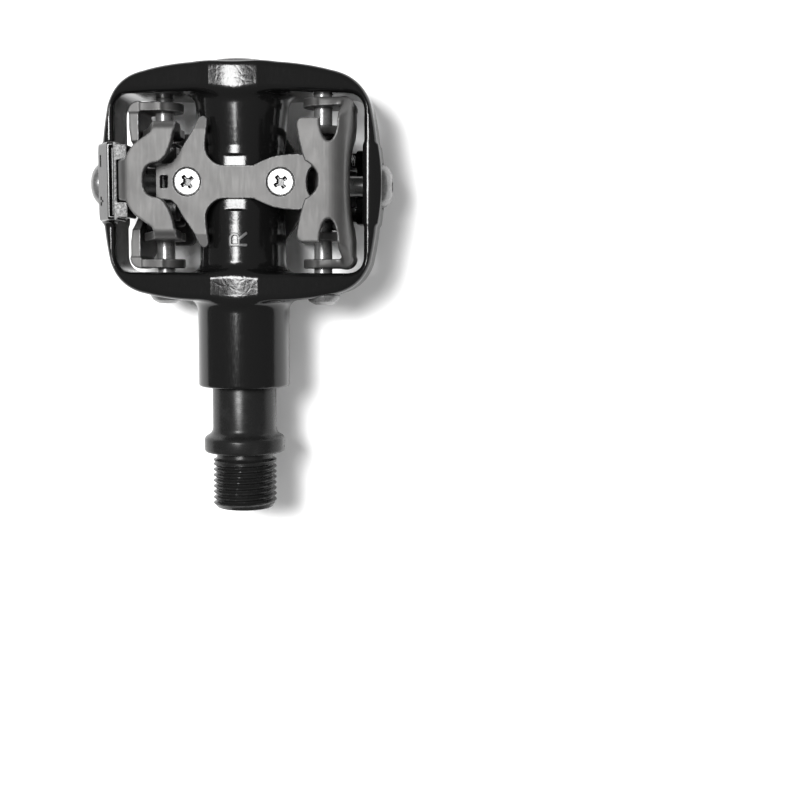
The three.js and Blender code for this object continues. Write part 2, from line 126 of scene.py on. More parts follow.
def path(start, *moves):
    """A run of points from a start: each move is one corner, or a tuple of a curve's other controls."""
    points = [start]
    for move in moves:
        if isinstance(move[0], tuple):
            points += bezier(points[-1], *move)
        else:
            points.append(move)
    return points


def mirrored(half):
    """A closed outline from its half above the first axis."""
    below = [(x, -y) for x, y in reversed(half) if abs(y) > 1e-9]
    return half + below


# ---------------------------------------------------------------- distance fields


def outline_distance(u, v, points):
    """Signed distance in a plane to a closed outline, negative inside it."""
    nearest = np.full(np.broadcast(u, v).shape, np.inf)
    inside = np.zeros(nearest.shape, bool)
    for (x0, y0), (x1, y1) in zip(points, points[1:] + points[:1]):
        ex, ey = x1 - x0, y1 - y0
        length = ex * ex + ey * ey
        if length < 1e-12:
            continue
        t = np.clip(((u - x0) * ex + (v - y0) * ey) / length, 0, 1)
        nearest = np.minimum(nearest, (u - x0 - ex * t) ** 2 + (v - y0 - ey * t) ** 2)
        if abs(ey) > 1e-12:
            spans = (y0 > v) != (y1 > v)
            inside ^= spans & (u < ex * (v - y0) / ey + x0)
    distance = np.sqrt(nearest)
    return np.where(inside, -distance, distance)


def drawn(points, step=0.1, margin=4.0):
    """The outline's distance as a function of two coordinates, looked up in a fine table."""
    corners = np.array(points)
    low = corners.min(0) - margin
    count = np.ceil((corners.max(0) + margin - low) / step).astype(int) + 1
    u = low[0] + step * np.arange(count[0])
    v = low[1] + step * np.arange(count[1])
    table = outline_distance(u[:, None], v[None, :], points)

    def distance(a, b):
        a = np.clip((a - low[0]) / step, 0, count[0] - 1.001)
        b = np.clip((b - low[1]) / step, 0, count[1] - 1.001)
        i, j = a.astype(int), b.astype(int)
        p, q = a - i, b - j
        near = table[i, j] * (1 - q) + table[i, j + 1] * q
        far = table[i + 1, j] * (1 - q) + table[i + 1, j + 1] * q
        return near * (1 - p) + far * p

    return distance


def join(radius, *fields):
    """The union of fields, with fillets of about that radius where they meet."""
    total = fields[0]
    for field in fields[1:]:
        blend = np.maximum(radius - np.abs(total - field), 0) / radius
        total = np.minimum(total, field) - blend * blend * radius / 4
    return total


def common(radius, *fields):
    """What lies in every field, with its edges rounded."""
    return -join(radius, *[-field for field in fields])


def cut(radius, field, *tools):
    """A field with tools taken away, with the cut's edges rounded."""
    return common(radius, field, *[-tool for tool in tools])


def slab(value, low, high):
    return np.maximum(low - value, value - high)


def rod(a, b, centre_a, centre_b, radius):
    """A round bar of endless length along the third axis."""
    return np.hypot(a - centre_a, b - centre_b) - radius


def block(x, y, z, low, high, edge=0.4):
    return common(edge, slab(x, low[0], high[0]), slab(y, low[1], high[1]), slab(z, low[2], high[2]))


def both_faces(field):
    """A function of x, y and z that joins a face's feature with its twin on the other face."""
    return lambda x, y, z: np.minimum(field(x, y, z), field(-x, y, -z))


# ---------------------------------------------------------------- meshes


def new_object(name, points, faces, sharp=None):
    """A smooth-shaded object in the row frame from points in the pedal's millimetres."""
    mesh = bpy.data.meshes.new(name)
    placed = (np.asarray(points, float) + (0, PLATE_Y, 0)) * MM
    mesh.from_pydata(placed.tolist(), [], [list(map(int, f)) for f in faces])
    if sharp:
        shape = bmesh.new()
        shape.from_mesh(mesh)
        bmesh.ops.remove_doubles(shape, verts=shape.verts, dist=1e-7)
        shape.to_mesh(mesh)
        shape.free()
    mesh.update()
    mesh.shade_smooth()
    if sharp:
        mesh.set_sharp_from_angle(angle=math.radians(sharp))
    piece = bpy.data.objects.new(name, mesh)
    bpy.context.scene.collection.objects.link(piece)
    return piece


CORNERS = [(i, j, k) for i in (0, 1) for j in (0, 1) for k in (0, 1)]


def net(values, low, cell):
    """Vertices and quads of the zero surface of values on a grid: one vertex in each mixed cell."""
    shape = np.array(values.shape) - 1
    part = [values[i : shape[0] + i, j : shape[1] + j, k : shape[2] + k] for i, j, k in CORNERS]
    inside = sum((p < 0).astype(np.int8) for p in part)
    mixed = (inside > 0) & (inside < 8)
    where = np.argwhere(mixed)
    index = np.full(mixed.shape, -1)
    index[mixed] = np.arange(len(where))
    total = np.zeros((len(where), 3))
    hits = np.zeros(len(where))
    picked = [p[mixed] for p in part]
    for a in range(8):
        for axis in range(3):
            if CORNERS[a][axis]:
                continue
            b = a + (4, 2, 1)[axis]
            crossing = (picked[a] < 0) != (picked[b] < 0)
            share = picked[a] / np.where(crossing, picked[a] - picked[b], 1)
            point = np.tile(np.array(CORNERS[a], float), (len(where), 1))
            point[:, axis] += share
            total[crossing] += point[crossing]
            hits += crossing
    points = low + (where + total / hits[:, None]) * cell
    quads = []
    for axis in range(3):
        side = [n for n in range(3) if n != axis]
        start = [slice(1, n) for n in shape]
        start[axis] = slice(0, shape[axis])
        end = list(start)
        end[axis] = slice(1, shape[axis] + 1)
        first, second = values[tuple(start)] < 0, values[tuple(end)] < 0
        offset = np.ones(3, int)
        offset[axis] = 0
        for sign in (True, False):
            cells = np.argwhere((first != second) & (first == sign)) + offset
            ring = []
            for du, dv in ((0, 0), (1, 0), (1, 1), (0, 1)):
                at = cells.copy()
                at[:, side[0]] -= du
                at[:, side[1]] -= dv
                ring.append(index[at[:, 0], at[:, 1], at[:, 2]])
            quad = np.stack(ring, 1)
            quads.append(quad if sign == (axis != 1) else quad[:, ::-1])
    return points, np.concatenate(quads)


def gradient(field, points, step=0.02):
    slopes = []
    for axis in range(3):
        shift = np.zeros(3)
        shift[axis] = step
        ahead, behind = points + shift, points - shift
        slopes.append((field(*ahead.T) - field(*behind.T)) / (2 * step))
    return np.stack(slopes, 1)


def sculpted(name, field, low, high, cell):
    """An object whose surface is the field's zero, between two corners, in cells of that size.
    Its attribute bend holds the surface's curvature for each millimetre, above zero on its edges."""
    cell = cell * 1
    low, high = np.array(low, float), np.array(high, float)
    axes = [np.arange(a, b + cell, cell) for a, b in zip(low, high)]
    x, y, z = np.meshgrid(*axes, indexing="ij", sparse=True)
    values = np.broadcast_to(field(x, y, z), [len(a) for a in axes])
    points, quads = net(values, low, cell)
    for _ in range(3):
        slope = gradient(field, points)
        size = np.maximum((slope**2).sum(1), 0.2)
        move = np.clip(field(*points.T) / size, -cell / 2, cell / 2)
        points = points - slope * move[:, None]
    slope = gradient(field, points)
    piece = new_object(name, points, quads)
    normals = slope / np.maximum(np.linalg.norm(slope, axis=1), 1e-6)[:, None]
    piece.data.normals_split_custom_set_from_vertices(normals.tolist())
    bend = piece.data.attributes.new("bend", "FLOAT", "POINT")
    bend.data.foreach_set("value", curvature(field, points).astype(np.float32))
    return piece


def curvature(field, points, step=0.25):
    total = -6 * field(*points.T)
    for axis in range(3):
        shift = np.zeros(3)
        shift[axis] = step
        total = total + field(*(points + shift).T) + field(*(points - shift).T)
    return total / step**2


def softened(profile, size):
    """A profile with its corners broken by small curves."""
    points = [profile[0]]
    for before, corner, after in zip(profile, profile[1:], profile[2:]):
        back, on = Vector(before) - Vector(corner), Vector(after) - Vector(corner)
        if min(back.length, on.length) < 0.05 or back.angle(on) > math.radians(155):
            points.append(corner)
            continue
        start = Vector(corner) + back.normalized() * min(size, 0.4 * back.length)
        end = Vector(corner) + on.normalized() * min(size, 0.4 * on.length)
        points += [tuple(start)] + bezier(tuple(start), corner, tuple(end), steps=4)
    return points + [profile[-1]]


def tube_faces(rows, segments):
    """The quads between neighbouring rings of points."""
    faces = []
    for row in range(rows - 1):
        near, far = row * segments, (row + 1) * segments
        for i in range(segments):
            j = (i + 1) % segments
            faces.append((near + i, near + j, far + j, far + i))
    return faces


def turned(name, profile, axis="y", centre=(0, 0, 0), segments=96, ripple=None):
    """A solid of revolution from pairs of radius and place along the axis. It starts and ends on the
    axis, or is a closed ring. A radius may be a function of the angles, and ripple, a function of place
    and angles, is added to the others."""
    angles = 2 * math.pi * np.arange(segments) / segments
    rings = []
    for radius, along in profile:
        r = radius(angles) if callable(radius) else np.full(segments, float(radius))
        if ripple and not callable(radius) and radius > 0.01:
            r = r + ripple(along, angles)
        rings.append(np.stack([r * np.sin(angles), np.full(segments, float(along)), r * np.cos(angles)], 1))
    faces = tube_faces(len(profile), segments)
    turn = {"x": Matrix.Rotation(-math.pi / 2, 3, "Z"), "y": Matrix.Identity(3),
            "z": Matrix.Rotation(math.pi / 2, 3, "X")}[axis]
    points = np.concatenate(rings) @ np.array(turn).T + centre
    return new_object(name, points, faces, sharp=38)


def wire(name, points, radius, segments=16):
    """A round wire along a run of points, with rounded ends."""
    points = [Vector(p) for p in points]
    ways = [(b - a).normalized() for a, b in zip(points[:-1], points[1:])]
    ways = [ways[0]] + [(a + b).normalized() for a, b in zip(ways[:-1], ways[1:])] + [ways[-1]]
    side = ways[0].orthogonal().normalized()
    rings = []
    for place, way in zip(points, ways):
        side = (side - way * side.dot(way)).normalized()
        rings.append((place, way, side, 1.0))
    first, last = rings[0], rings[-1]
    rounding = [(math.sin(t), math.cos(t)) for t in (0.25, 0.6, 1.0, 1.57)]
    starts = [(first[0] - first[1] * out * radius, *first[1:3], size) for out, size in reversed(rounding)]
    ends = [(last[0] + last[1] * out * radius, *last[1:3], size) for out, size in rounding]
    rings = starts + rings + ends
    surface = []
    for place, way, across, size in rings:
        up = way.cross(across)
        for i in range(segments):
            t = 2 * math.pi * i / segments
            surface.append(place + (across * math.cos(t) + up * math.sin(t)) * radius * max(size, 0.002))
    faces = tube_faces(len(rings), segments)
    faces.append(tuple(reversed(range(segments))))
    faces.append(tuple(range(len(surface) - segments, len(surface))))
    return new_object(name, [tuple(p) for p in surface], faces, sharp=60)


# ---------------------------------------------------------------- finishes


class Finish:
    """A material's nodes, built one by one in object space, where one unit is a metre."""

    def __init__(self, name):
        self.material = bpy.data.materials.new(name)
        self.material.use_nodes = True
        self.nodes = self.material.node_tree.nodes
        self.links = self.material.node_tree.links
        self.shader = next(n for n in self.nodes if n.type == "BSDF_PRINCIPLED")
        self.place = self.nodes.new("ShaderNodeTexCoord").outputs["Object"]

    def node(self, kind, inputs=(), **settings):
        made = self.nodes.new(kind)
        for key, value in settings.items():
            setattr(made, key, value)
        for key, value in dict(inputs).items():
            self.fill(made.inputs[key], value)
        return made

    def noise(self, size_mm, detail=3.0, stretch=(1, 1, 1), rough=0.5):
        """Noise with features of about that size."""
        scale = [s / (size_mm * MM) for s in stretch]
        mapped = self.node("ShaderNodeMapping", {"Vector": self.place, "Scale": scale})
        inputs = {"Vector": mapped.outputs[0], "Scale": 1.0, "Detail": detail, "Roughness": rough}
        return self.node("ShaderNodeTexNoise", inputs).outputs["Fac"]

    def from_cracks(self, size_mm):
        """The distance from the borders of cells of about that size, as a share of it."""
        scale = [1 / (size_mm * MM)] * 3
        mapped = self.node("ShaderNodeMapping", {"Vector": self.place, "Scale": scale})
        made = self.node("ShaderNodeTexVoronoi", {"Vector": mapped.outputs[0], "Scale": 1.0},
                         feature="DISTANCE_TO_EDGE")
        return made.outputs["Distance"]

    def spread(self, value, low, high, to_low=0.0, to_high=1.0, smooth=False):
        """The value's range from low to high, spread over another range and held at its ends."""
        kind = "SMOOTHSTEP" if smooth else "LINEAR"
        inputs = {"Value": value, "From Min": low, "From Max": high, "To Min": to_low, "To Max": to_high}
        return self.node("ShaderNodeMapRange", inputs, interpolation_type=kind).outputs["Result"]

    def reckon(self, operation, a, b=0.0):
        return self.node("ShaderNodeMath", {0: a, 1: b}, operation=operation).outputs[0]

    def places(self):
        """How far the point is above or below the spindle, how far beside it, and its place along it."""
        place = self.node("ShaderNodeSeparateXYZ", {"Vector": self.place}).outputs
        return self.reckon("ABSOLUTE", place["Z"]), self.reckon("ABSOLUTE", place["X"]), place["Y"]

    def bend(self):
        """The surface's curvature, which the sculpted pieces carry."""
        return self.node("ShaderNodeAttribute", attribute_name="bend").outputs["Fac"]

    def fill(self, socket, value):
        if isinstance(value, bpy.types.NodeSocket):
            self.links.new(value, socket)
        else:
            socket.default_value = value

    def mix(self, factor, first, second):
        made = self.node("ShaderNodeMix", data_type="RGBA")
        for socket, value in zip((made.inputs["Factor"], *made.inputs[6:8]), (factor, first, second)):
            self.fill(socket, value)
        return made.outputs[2]

    def bump(self, height, depth_mm, under=None):
        made = self.node("ShaderNodeBump", {"Height": height, "Strength": 1.0, "Distance": depth_mm * MM})
        if under:
            self.links.new(under, made.inputs["Normal"])
        return made.outputs[0]

    def give(self, **inputs):
        """Puts colours and numbers on the shader's own sockets, and returns the material."""
        names = {"color": "Base Color", "metal": "Metallic", "rough": "Roughness", "normal": "Normal",
                 "specular": "Specular IOR Level"}
        for key, value in inputs.items():
            self.fill(self.shader.inputs[names[key]], value)
        return self.material


def grey(level, warm=0.0):
    return (level * (1 + warm), level, level * (1 - warm), 1)


def gloss_paint():
    """Thick black gloss on a cast skin, which shows on the bars' flats. The blocks' tops are bare."""
    f = Finish("gloss_black_paint")
    cast_skin = f.noise(1.6, 5.0, rough=0.62)
    cracks = f.spread(f.from_cracks(2.1), 0.0, 0.16, smooth=True)
    height, side, along = f.places()
    on_top = f.spread(height, (BAR_TOP - 0.6) * MM, (BAR_TOP - 0.2) * MM)
    flat = f.reckon("MULTIPLY", on_top, f.spread(side, (FLAT_X + 0.9) * MM, (FLAT_X + 0.3) * MM))
    outboard = f.spread(along, -3 * MM, 0.0)
    rough_patch = f.reckon("MULTIPLY", f.spread(f.noise(3.2, 3.0), 0.45, 0.6), outboard)
    skin_depth = f.reckon("MAXIMUM", flat, f.reckon("MULTIPLY", rough_patch, 0.6))
    skin = f.reckon("MULTIPLY", f.reckon("MULTIPLY", cracks, f.spread(cast_skin, 0.3, 0.7)), skin_depth)
    peel = f.bump(f.noise(0.9, 2.0), 0.012)
    relief = f.bump(skin, 0.010, under=peel)
    scratch = f.noise(0.25, 4.0, (1, 0.15, 1))
    rough = f.spread(scratch, 0.3, 0.75, 0.13, 0.21)
    edge = f.spread(f.bend(), 0.7, 2.4)
    wear = f.reckon("MULTIPLY", edge, f.spread(f.noise(0.9, 4.0), 0.56, 0.72))
    color = f.mix(wear, grey(0.004), grey(0.03))
    block_top = f.spread(height, (BOSS_TOP - 0.6) * MM, (BOSS_TOP - 0.2) * MM)
    bare = f.reckon("MULTIPLY", block_top, f.spread(side, (BLOCK_X + 0.3) * MM, BLOCK_X * MM))
    grain = f.spread(f.noise(0.5, 5.0, rough=0.7), 0.4, 0.65)
    color = f.mix(bare, color, f.mix(grain, grey(0.1), grey(0.45)))
    relief = f.bump(f.reckon("MULTIPLY", bare, grain), 0.1, under=relief)
    return f.give(color=color, metal=0.0, rough=rough, normal=relief, specular=0.45)


def letter_paint_painted_highlight():
    """The cast mark's paint, a lighter grey than the frame's as a painted highlight where its raised
    strokes catch the light.
    """
    f = Finish("rubbed_black_paint")
    # painted highlight: the letter's paint is lighter grey than the frame's, standing in for the light its
    # relief catches
    color = f.mix(f.spread(f.noise(0.5, 3.0), 0.35, 0.65), grey(0.05), grey(0.09))
    rough = f.spread(f.noise(0.3, 3.0), 0.3, 0.7, 0.22, 0.34)
    return f.give(color=color, metal=0.0, rough=rough, normal=f.bump(f.noise(0.4, 2.0), 0.01), specular=0.6)


def spindle_paint():
    """Satin black on the turned spindle, with fine turning marks."""
    f = Finish("satin_black_spindle")
    turning = f.noise(0.35, 3.0, (0.05, 1, 0.05))
    rough = f.spread(f.noise(1.2, 3.0), 0.3, 0.7, 0.24, 0.31)
    color = f.mix(f.spread(f.noise(2.5, 4.0), 0.5, 0.75), grey(0.009), grey(0.014))
    return f.give(color=color, metal=0.0, rough=rough, normal=f.bump(turning, 0.006), specular=0.26)


def plate_steel():
    """Matt grey plated stampings: blasted grain, paler worn edges, soft darker clouds."""
    f = Finish("grey_plated_steel")
    grain = f.noise(0.12, 3.0, rough=0.7)
    clouds = f.noise(5.0, 4.0)
    marks = f.noise(0.5, 5.0, (1, 0.12, 1))
    body = f.mix(f.spread(clouds, 0.35, 0.7), grey(0.115, 0.012), grey(0.14, 0.012))
    body = f.mix(f.reckon("MULTIPLY", f.spread(marks, 0.55, 0.75), 0.15), body, grey(0.2))
    edge = f.reckon("MULTIPLY", f.spread(f.bend(), 1.2, 3.2), f.spread(f.noise(0.7, 3.0), 0.35, 0.6))
    body = f.mix(edge, body, grey(0.28))
    rough = f.spread(marks, 0.3, 0.7, 0.5, 0.56)
    normal = f.bump(f.noise(0.9, 3.0), 0.01, under=f.bump(grain, 0.006))
    return f.give(color=body, metal=0.85, rough=rough, normal=normal)


def bright_steel():
    """Zinc-bright hardware, a little cloudy, with painted shade in its corners and in the plate screws'
    recesses.
    """
    f = Finish("bright_zinc_hardware")
    marks = f.noise(0.3, 4.0, (1, 0.3, 1))
    body = f.mix(f.spread(f.noise(0.8, 3.0), 0.35, 0.7), grey(0.19), grey(0.25))
    # painted shade: concave corners and sockets are darkened
    body = f.mix(f.spread(f.bend(), -1.5, -5.0), body, grey(0.04))
    height, side, _ = f.places()
    aside = f.reckon("ABSOLUTE", f.reckon("SUBTRACT", side, PLATE_SCREW_X * MM))
    below = f.spread(height, (PLATE_TOP - 0.3) * MM, (PLATE_TOP - 0.6) * MM)
    # painted shade: the plate screws' cross recesses, below the plate's top, are darkened
    recess = f.reckon("MULTIPLY", below, f.spread(aside, 1.8 * MM, 1.6 * MM))
    body = f.mix(recess, body, grey(0.05))
    return f.give(color=body, metal=0.7, rough=f.spread(marks, 0.3, 0.7, 0.26, 0.36),
                  normal=f.bump(marks, 0.003))


def spring_steel():
    """Drawn wire, dark with oil."""
    f = Finish("oiled_spring_steel")
    draw = f.noise(0.25, 3.0, (1, 0.2, 1))
    body = f.mix(f.spread(f.noise(1.5, 4.0), 0.35, 0.7), grey(0.06), grey(0.12))
    return f.give(color=body, metal=0.85, rough=f.spread(draw, 0.3, 0.7, 0.28, 0.42),
                  normal=f.bump(draw, 0.006))


def bearing_steel():
    """Bright steel, ground all round."""
    f = Finish("ground_bearing_steel")
    ground = f.noise(0.1, 2.0, (0.05, 1, 0.05))
    return f.give(color=f.mix(f.noise(2.0, 2.0), grey(0.55), grey(0.68)), metal=1.0,
                  rough=f.spread(ground, 0.3, 0.7, 0.12, 0.22), normal=f.bump(ground, 0.002))


def bush_metal():
    f = Finish("bronze_bush")
    body = f.mix(f.noise(1.0, 4.0), (0.42, 0.25, 0.09, 1), (0.55, 0.36, 0.15, 1))
    return f.give(color=body, metal=1.0, rough=f.spread(f.noise(0.4, 3.0), 0.3, 0.7, 0.26, 0.42),
                  normal=f.bump(f.noise(0.15, 3.0), 0.004))


def seal_rubber():
    f = Finish("black_seal_rubber")
    body = f.mix(f.noise(0.8, 4.0), grey(0.012), grey(0.024))
    return f.give(color=body, metal=0.0, rough=f.spread(f.noise(0.3, 3.0), 0.3, 0.7, 0.5, 0.66),
                  normal=f.bump(f.noise(0.2, 3.0), 0.01))


def cap_plastic():
    f = Finish("moulded_black_plastic")
    body = f.mix(f.noise(2.0, 4.0), grey(0.010), grey(0.018))
    return f.give(color=body, metal=0.0, rough=f.spread(f.noise(1.1, 3.0), 0.3, 0.7, 0.26, 0.36),
                  normal=f.bump(f.noise(0.5, 3.0), 0.008))


finishes = {
    "frame_paint": gloss_paint(), "spindle_paint": spindle_paint(), "plate_steel": plate_steel(),
    "bright_steel": bright_steel(), "spring_steel": spring_steel(), "bearing_steel": bearing_steel(),
    "bush_metal": bush_metal(), "seal_rubber": seal_rubber(), "cap_plastic": cap_plastic(),
}


# ---------------------------------------------------------------- which body, finish and CAD node

HALF_TURN = Matrix.Rotation(math.pi, 4, "Y")


def own(piece, body, slot, *nodes):
    """The piece rides on a body, takes a finish, and stands for CAD nodes."""
    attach(piece, body)
    piece.data.materials.append(finishes[slot])
    if nodes:
        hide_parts(*nodes)


def own_both(piece, body, slot, *nodes):
    """The same for an upper face's piece and a copy of it for the lower face. A body whose name ends
    in an underscore is one of a pair too."""
    base = piece.name
    twin = bpy.data.objects.new(base + "_lower", piece.data.copy())
    twin.data.transform(HALF_TURN)
    bpy.context.scene.collection.objects.link(twin)
    piece.name = base + "_upper"
    for half, face in ((piece, "upper"), (twin, "lower")):
        rides_on = body + face if body.endswith("_") else body
        own(half, rides_on, slot, *[f"{node}_{face}" for node in nodes])


# ---------------------------------------------------------------- body frame

FRAME_PLAN = drawn(mirrored(path(
    (-30.7, 0), ((-30.8, 9), (-29, 17)), ((-27, 23), (-20.5, 24.1)), ((-14.5, 25.5), (-7, 25.5)),
    (7, 25.5), ((14.5, 25.5), (20.5, 24.1)), ((27, 23), (29, 17)), ((30.8, 9), (30.7, 0)),
)))
WINDOW_PLAN = drawn(mirrored(path(
    (-WINDOW_X, 0), (-WINDOW_X, 15.3), ((-WINDOW_X, WINDOW_Y), (-23.5, WINDOW_Y)),
    (23.5, WINDOW_Y), ((WINDOW_X, WINDOW_Y), (WINDOW_X, 15.3)), (WINDOW_X, 0),
)))
BAR_SIDE = drawn(mirrored([(-34, 0), (-34, 4.4), (-27.5, 6.2), (-FLAT_X, BAR_TOP), (FLAT_X, BAR_TOP),
                           (27.5, 6.2), (34, 4.4), (34, 0)]))
BOSS_PLAN = drawn(mirrored(path((-31.3, 0), ((-31.3, 4.2), (-30.4, 8.3)), (-24.7, 8.3), (-24.7, 0))))
BOSS_SIDE = drawn([(-27.5, -5), (-33, -5), (-31.6, 3.5), (-30.2, 8), (-26.8, BOSS_TOP), (-24.7, BOSS_TOP),
                   (-24.7, 5.4), (-27.5, 4.4)])

BARREL_STATIONS = ((-26, TUBE_R), (-24, BARREL_R + 0.4), (-9, BARREL_R), (8, BARREL_R),
                   (WINDOW_Y, BARREL_FLARE_R))


def front_boss(x, y, z):
    """The raised end on the upper face, and the two blocks that hold the front claw's tongue."""
    boss = common(0.7, BOSS_PLAN(x, y), BOSS_SIDE(x, z))
    blocks = block(x, np.abs(y), z, (-BLOCK_X, 4.5, 5.4), (-22.6, 7.7, BOSS_TOP), 0.4)
    groove = block(x, y, z, (-26.3, -7.4, BOSS_TOP - 1), (-25.5, 7.4, BOSS_TOP + 2), 0.3)
    return cut(0.2, join(0.4, boss, blocks), groove)


def plate_lugs(x, y, z):
    return block(np.abs(x), y, z, (6, -3.3, 4.2), (12.7, 3.3, PLATE_TOP - PLATE_THICK - 0.05), 0.8)


def face_cuts(x, y, z):
    """What one face takes out of the casting: the plate's seat, the screws' holes and the pin's."""
    seat = block(x, y, z, (-13, -5.9, PLATE_TOP - PLATE_THICK - 0.05), (13, 5.9, 14), 0.3)
    head = np.maximum(rod(y, z, 0, -SCREW_Z, 5.1), x + HEAD_TIP_X - 2.85)
    shank = np.maximum(rod(y, z, 0, -SCREW_Z, 2.7), slab(x, -34, -24))
    pin = np.maximum(rod(x, z, -PIN_X, -PIN_Z, PIN_R), slab(y, -28, 22.6))
    pin_seat = np.maximum(rod(x, z, -PIN_X, -PIN_Z, 3.95), y + 24)
    screw = np.maximum(rod(np.abs(x), y, PLATE_SCREW_X, 0, 1.45), slab(z, 3, 12))
    return np.minimum.reduce(np.broadcast_arrays(seat, head, shank, pin, pin_seat, screw))


def body_frame(x, y, z):
    radius = np.hypot(x, z)
    ring = np.maximum(FRAME_PLAN(x, y), -WINDOW_PLAN(x, y))
    ring = common(1.6, ring, BAR_SIDE(x, z))
    barrel_r = np.interp(y, *zip(*BARREL_STATIONS))
    tube = common(0.7, radius - barrel_r, slab(y, TUBE_MOUTH, TUBE_END))
    casting = join(2.6, ring, tube)
    casting = join(1.2, casting, both_faces(front_boss)(x, y, z))
    casting = join(1.0, casting, both_faces(plate_lugs)(x, y, z))
    casting = cut(0.3, casting, both_faces(face_cuts)(x, y, z))
    bore = np.maximum(radius - np.where(slab(y, -20, -8.2) < 0, 6.9, BORE_R), slab(y, -46, 28))
    groove = np.maximum(radius - BORE_R - 0.5, slab(y, 12.3, 13.45))
    return cut(0.3, casting, np.minimum(bore, groove))


def side_letter(x, y, z):
    """A cast letter R on the barrel, its foot towards +X, standing a little proud of the paint."""
    down = BARREL_R * np.arctan2(x, z) - 0.7
    skin_r = BARREL_R - 0.0267 * (y + 9)
    right = y + 13.4
    half_tall, line = 1.65, 0.32
    waist, straight = 0.15, 1.45
    bowl_r = (half_tall + waist) / 2
    stem = np.hypot(np.clip(down, -half_tall, half_tall) - down, right)
    top_arm = np.hypot(np.clip(right, 0, straight) - right, down + half_tall)
    low_arm = np.hypot(np.clip(right, 0, straight) - right, down - waist)
    arc = np.abs(np.hypot(down + half_tall - bowl_r, right - straight) - bowl_r)
    bowl = np.maximum(arc, straight - right)
    share = np.clip(((down - waist) * 1.5 + (right - 1.2) * 1.3) / (1.5**2 + 1.3**2), 0, 1)
    leg = np.hypot(down - waist - 1.5 * share, right - 1.2 - 1.3 * share)
    strokes = np.minimum.reduce(np.broadcast_arrays(stem, top_arm, low_arm, bowl, leg)) - line
    return common(0.2, strokes, slab(np.hypot(x, z), skin_r - 0.4, skin_r + 0.4))


def tension_marks(x, y, z):
    """The minus and plus beside a tension screw, on the boss's sloping wall."""
    along = z - 9.2
    minus = np.maximum(slab(y, 3.2, 5.8), np.abs(along) - 0.25)
    plus = np.minimum(np.maximum(slab(y, -5.1, -3.1), np.abs(along) - 0.25),
                      np.maximum(np.abs(y + 4.1) - 0.25, np.abs(along) - 1.0))
    return common(0.15, np.minimum(minus, plus), slab(BOSS_SIDE(x, z), -0.8, 0.16), x + 27)


def build_frame():
    casting = sculpted("frame_casting", body_frame, (-32, -45.4, -13.6), (32, 26.4, 13.6), 0.26)
    own(casting, "pedal_body", "frame_paint", "body_frame")
    letter = sculpted("side_letter", side_letter, (-1.8, -14.2, 8.8), (3.2, -10, 10.8), 0.09)
    own(letter, "pedal_body", "frame_paint")
    letter.data.materials[0] = letter_paint_painted_highlight()
    marks = sculpted("tension_marks", tension_marks, (-32.4, -5.8, 7.6), (-27, 5.8, 10.8), 0.11)
    own_both(marks, "pedal_body", "frame_paint")
    cap = turned("end_cap_moulding", [
        (0, 22.2), (7.2, 22.2), (7.9, 22.7), (7.9, 25.5), (8.35, 25.52), (8.4, 25.7), (8.3, 26.0),
        (7.9, 26.25), (7.0, 26.5), (5.5, 26.72), (3.6, 26.85), (1.8, OUTBOARD_END), (0, OUTBOARD_END)])
    own(cap, "pedal_body", "cap_plastic", "end_cap")


# ---------------------------------------------------------------- spindle

THREAD_PITCH = 1.27
THREAD_R = 7.14
THREAD_DEPTH = 0.72
THREAD_ROOT = -61.4
HEX_FLAT = 4
HEX_DEPTH = -65.3


def hex_radius(flat):
    """A hex socket's radius as a function of the angle, from its distance to each flat."""
    return lambda angles: flat / np.cos((angles + math.pi / 6) % (math.pi / 3) - math.pi / 6)


def thread(along, angles):
    """A right-hand thread's groove, which runs out at both ends."""
    turn = (along - INBOARD_END) / THREAD_PITCH - angles / (2 * math.pi)
    groove = np.clip(np.abs((turn % 1) - 0.5) * 2.6 - 0.15, 0, 1)
    run_out = np.clip(min(along - INBOARD_END - 0.2, THREAD_ROOT - along) / 0.9, 0, 1)
    return -THREAD_DEPTH * (1 - groove) * run_out


def build_spindle():
    hexagon = hex_radius(HEX_FLAT)
    socket = [(0, HEX_DEPTH), (hexagon, HEX_DEPTH), (hexagon, INBOARD_END + 0.25)]
    mouth = [(4.75, INBOARD_END), (6.1, INBOARD_END), (6.35, INBOARD_END + 0.1),
             (THREAD_R - 0.05, INBOARD_END + 0.8)]
    first, last = INBOARD_END + 0.9, THREAD_ROOT
    rows = int((last - first) / THREAD_PITCH * 12)
    threaded = [(THREAD_R, first + (last - first) * i / rows) for i in range(rows + 1)]
    flange = [(6.5, -61.1), (6.3, -60.8), (6.3, -59.45), (6.45, -59.3), (7.3, -59.3), (7.35, -59.6),
              (8.35, -59.6), (8.75, -59.5), (9.0, -59.2), (9.05, -58.8), (9.05, -56.9), (8.98, -56.5),
              (8.75, -56.15), (8.4, -55.9), (7.9, -55.6), (7.5, -55.2), (7.25, -54.7)]
    neck = [(7.15, -54.0), (7.15, -41.3), (7.05, -41.1), (6.1, -40.65), (6, -40.5)]
    journals = [(6, -8), (4, -8), (4, 19), (3.4, 19.6), (0, 19.6)]
    profile = socket + mouth + threaded + flange + neck + journals
    spindle = turned("spindle_turning", profile, segments=144, ripple=thread)
    own(spindle, "spindle", "spindle_paint", "spindle")


# ---------------------------------------------------------------- bearings, bush and seal


def ring_profile(inner, outer, low, high, edge=0.2, groove=0.0):
    """A ring's section, with broken edges, and a ball groove inside (negative) or outside."""
    mid = (low + high) / 2
    inside = [(inner, mid + 1), (inner - groove, mid), (inner, mid - 1)] if groove < 0 else []
    outside = [(outer, mid - 1), (outer - groove, mid), (outer, mid + 1)] if groove > 0 else []
    points = [(inner + edge, low), (outer - edge, low), (outer, low + edge), *outside,
              (outer, high - edge), (outer - edge, high), (inner + edge, high), (inner, high - edge),
              *inside, (inner, low + edge)]
    return points + points[:1]


